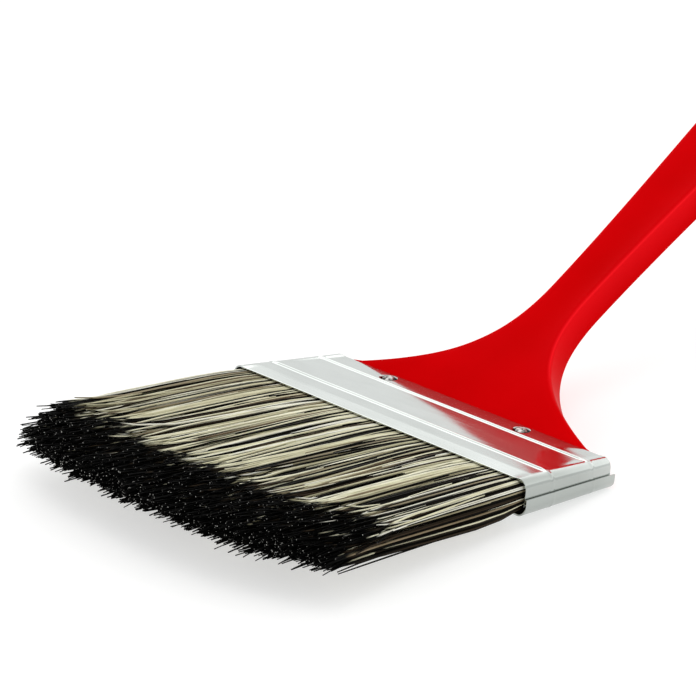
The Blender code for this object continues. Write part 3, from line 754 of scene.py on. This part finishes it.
def planStrands(bm, strandOf, chance):
    # Path, tone, start of the dye and stoutness of each strand
    columns, rows = bristle["columns"], bristle["rows"]
    plans = []
    locks = planLocks(columns, rows, chance)
    for index, face in enumerate(bm.faces):
        face[strandOf] = index
        row, column = divmod(index, columns)
        centre = face.calc_center_median()
        x = centre.x + chance.uniform(-1.0, 1.0) * bristle["jitter"][0]
        z = centre.z + chance.uniform(-1.0, 1.0) * bristle["jitter"][1]
        u, w = x / bristle["mouthHalfWidth"], z / bristle["mouthHalfThick"]
        start = trimLength(u, w) - mix(bristle["dyeTop"], bristle["dyeUnder"], (1.0 - w) / 2)
        start += chance.gauss(0.0, bristle["dyeRagged"])
        drift = Vector((x / bristle["driftSize"], z / bristle["driftSize"], bristle["driftLevel"]))
        start += bristle["dyeDrift"] * noise.noise(drift)
        outside, atEnd = row >= rows - bristle["lockDeep"], column in (0, columns - 1)
        lock = locks[(rows - 1 - row) // bristle["lockDeep"]][column]
        tone = strandTone(outside, atEnd, w, lock, chance)
        plans.append((strandPath(x, z, lock, chance), tone, start, chance.uniform(*bristle["stout"])))
    return plans


def buildBank(name, lift, material, node, chance):
    bm = bmesh.new()
    bmesh.ops.create_grid(bm, x_segments=bristle["columns"], y_segments=bristle["rows"], size=0.5)
    shade = bm.verts.layers.float.new("shade")
    reach = bm.verts.layers.float.new("reach")
    dyeStart = bm.verts.layers.float.new("dyeStart")
    cutEnd = bm.verts.layers.float.new("cutEnd")
    mapRow = bm.loops.layers.uv.new("OFBake")
    strandOf = bm.faces.layers.int.new("strand")
    bm.faces.ensure_lookup_table()
    shapeMouth(bm, lift)
    plans = planStrands(bm, strandOf, chance)
    tips = bm.faces[:]
    last = len(bristle["stations"]) - 1
    for step in range(last + 2):
        atCut = step > last  # the last ring closes the cut end
        tips = bmesh.ops.extrude_discrete_faces(bm, faces=tips)["faces"]
        for face in tips:
            path, tone, start, stout = plans[face[strandOf]]
            size = bristle["radius"][min(step, last)] * stout
            place = path[min(step, last)] - Vector((0.0, bristle["cutEnd"] if atCut else 0.0, 0.0))
            for vert, (left, up) in zip(face.verts, ((-1, -1), (1, -1), (1, 1), (-1, 1))):
                vert.co = place + Vector((left * size, 0.0, up * size))
                vert[shade] = tone
                vert[dyeStart] = start
                vert[reach] = -place.y
                # A few cut ends are painted pale: partly pale cut cores, partly painted glints
                vert[cutEnd] = (tone * bristle["coreGlintSpread"] % 1.0) ** bristle["coreGlintCurve"] if atCut else 0.0
    bmesh.ops.holes_fill(bm, edges=[edge for edge in bm.edges if edge.is_boundary])
    bmesh.ops.recalc_face_normals(bm, faces=bm.faces[:])
    # One narrow column of the map for each strand, dark strands first
    count = len(plans)
    order = sorted(range(count), key=lambda index: plans[index][1])
    ranks = {index: rank for rank, index in enumerate(order)}
    for face in bm.faces:
        rank = ranks[face[strandOf]]
        for corner, loop in enumerate(face.loops):
            across = (rank + bristle["mapCell"][corner % 4]) / count
            along = min(max(loop.vert[reach] / bristle["mapLength"], 0.0), 1.0)
            loop[mapRow].uv = (across, mix(bristle["mapInset"], 1.0 - bristle["mapInset"], along))
    piece = addPiece(name, bm, material, [node])
    print(name, count, "strands,", len(piece.data.polygons), "faces")


# Studio

studio = {
    "eye": (0.355448, -0.374373, 0.207079), "look": (69.1028, -0.0629, 47.2479), "lens": 166.172,
    "sensor": 36.0, "shift": (-0.002184, 0.000283), "clip": 0.01,
    "floor": (0.56, 0.56, 0.557), "floorGlow": 0.52, "floorRough": 0.9, "floorShine": 0.1, "floorSize": 8.0,
    # from straight down to straight up
    "sky": (
        (0.0, (1.0, 1.0, 1.0)), (0.50, (1.0, 1.0, 1.0)), (0.615, (0.92, 0.93, 0.925)),
        (0.655, (1.42, 1.43, 1.42)), (0.74, (1.25, 1.26, 1.25)), (0.86, (1.12, 1.13, 1.12)),
        (0.92, (0.70, 0.70, 0.70)), (1.0, (0.50, 0.50, 0.50))),
    "skyFrontToRear": (0.66, 1.07)}

lamps = {
    "overhead": {"at": (0.15, -0.20, 1.15), "size": 0.8, "watts": 3.0},
    "rear": {"at": (-0.87, 0.66, 0.72), "size": 0.72, "watts": 0.9},
    "front": {"at": (-0.25, -1.10, 0.65), "size": 0.7, "watts": 1.5}}


def buildSky(scene):
    world = bpy.data.worlds.new("studioSky")
    scene.world = world
    world.use_nodes = True
    tree = world.node_tree
    place = addNode(tree, "ShaderNodeTexCoord")
    split = addNode(tree, "ShaderNodeSeparateXYZ")
    tree.links.new(place.outputs["Generated"], split.inputs["Vector"])
    height = addRange(tree, split.outputs["Z"], -1.0, 1.0, 0.0, 1.0)
    strength = addRange(tree, split.outputs["Y"], -1.0, 1.0, *studio["skyFrontToRear"])
    back = tree.nodes["Background"]
    tree.links.new(addRamp(tree, height, studio["sky"]), back.inputs["Color"])
    tree.links.new(strength, back.inputs["Strength"])


def buildFloor(scene):
    bm = bmesh.new()
    bmesh.ops.create_grid(bm, x_segments=1, y_segments=1, size=studio["floorSize"] / 2)
    mesh = bpy.data.meshes.new("studioFloor")
    bm.to_mesh(mesh)
    bm.free()
    floor = bpy.data.objects.new("studioFloor", mesh)
    scene.collection.objects.link(floor)
    material, tree, shader = newMaterial("studioFloor")
    shader.inputs["Base Color"].default_value = (*studio["floor"], 1.0)
    shader.inputs["Roughness"].default_value = studio["floorRough"]
    shader.inputs["Specular IOR Level"].default_value = studio["floorShine"]
    shader.inputs["Emission Color"].default_value = (1.0, 1.0, 1.0, 1.0)
    shader.inputs["Emission Strength"].default_value = studio["floorGlow"]
    mesh.materials.append(material)


def buildLamps(scene):
    for name, lamp in lamps.items():
        light = bpy.data.lights.new(name + "Softbox", "AREA")
        light.energy = lamp["watts"]
        light.size = lamp["size"]
        box = bpy.data.objects.new(name + "Softbox", light)
        box.location = lamp["at"]
        box.rotation_euler = (-Vector(lamp["at"])).to_track_quat("-Z", "Y").to_euler()
        scene.collection.objects.link(box)


def buildCamera(scene):
    camera = bpy.data.cameras.new("photoCamera")
    camera.lens = studio["lens"]
    camera.sensor_width = studio["sensor"]
    camera.shift_x, camera.shift_y = studio["shift"]
    camera.clip_start = studio["clip"]
    eye = bpy.data.objects.new("photoCamera", camera)
    eye.location = studio["eye"]
    eye.rotation_euler = Euler([math.radians(turn) for turn in studio["look"]], "XYZ")
    scene.collection.objects.link(eye)
    scene.camera = eye
    scene.view_settings.view_transform = "Standard"


for build in (buildSky, buildFloor, buildLamps, buildCamera):
    build(bpy.context.scene)
print("studio set")
buildFerrule(rolledTinplate())
steel = nailSteel()
for label, across, side in nailSpots():
    buildNail(label, across, side, steel)
print("ferrule and nails done")
buildHandle(redPlastic())
print("handle done")
hair = mixedHair()
chance = random.Random(bristle["seed"])
buildBank("bristlesUpper", 1, hair, "bristles_upper", chance)
buildBank("bristlesLower", -1, hair, "bristles_lower", chance)
for node, material in (("resin_set", curedResin()), ("spacer_strip", sawnStrip())):
    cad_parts[node].data.materials.clear()
    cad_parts[node].data.materials.append(material)
print("resin and strip dressed")
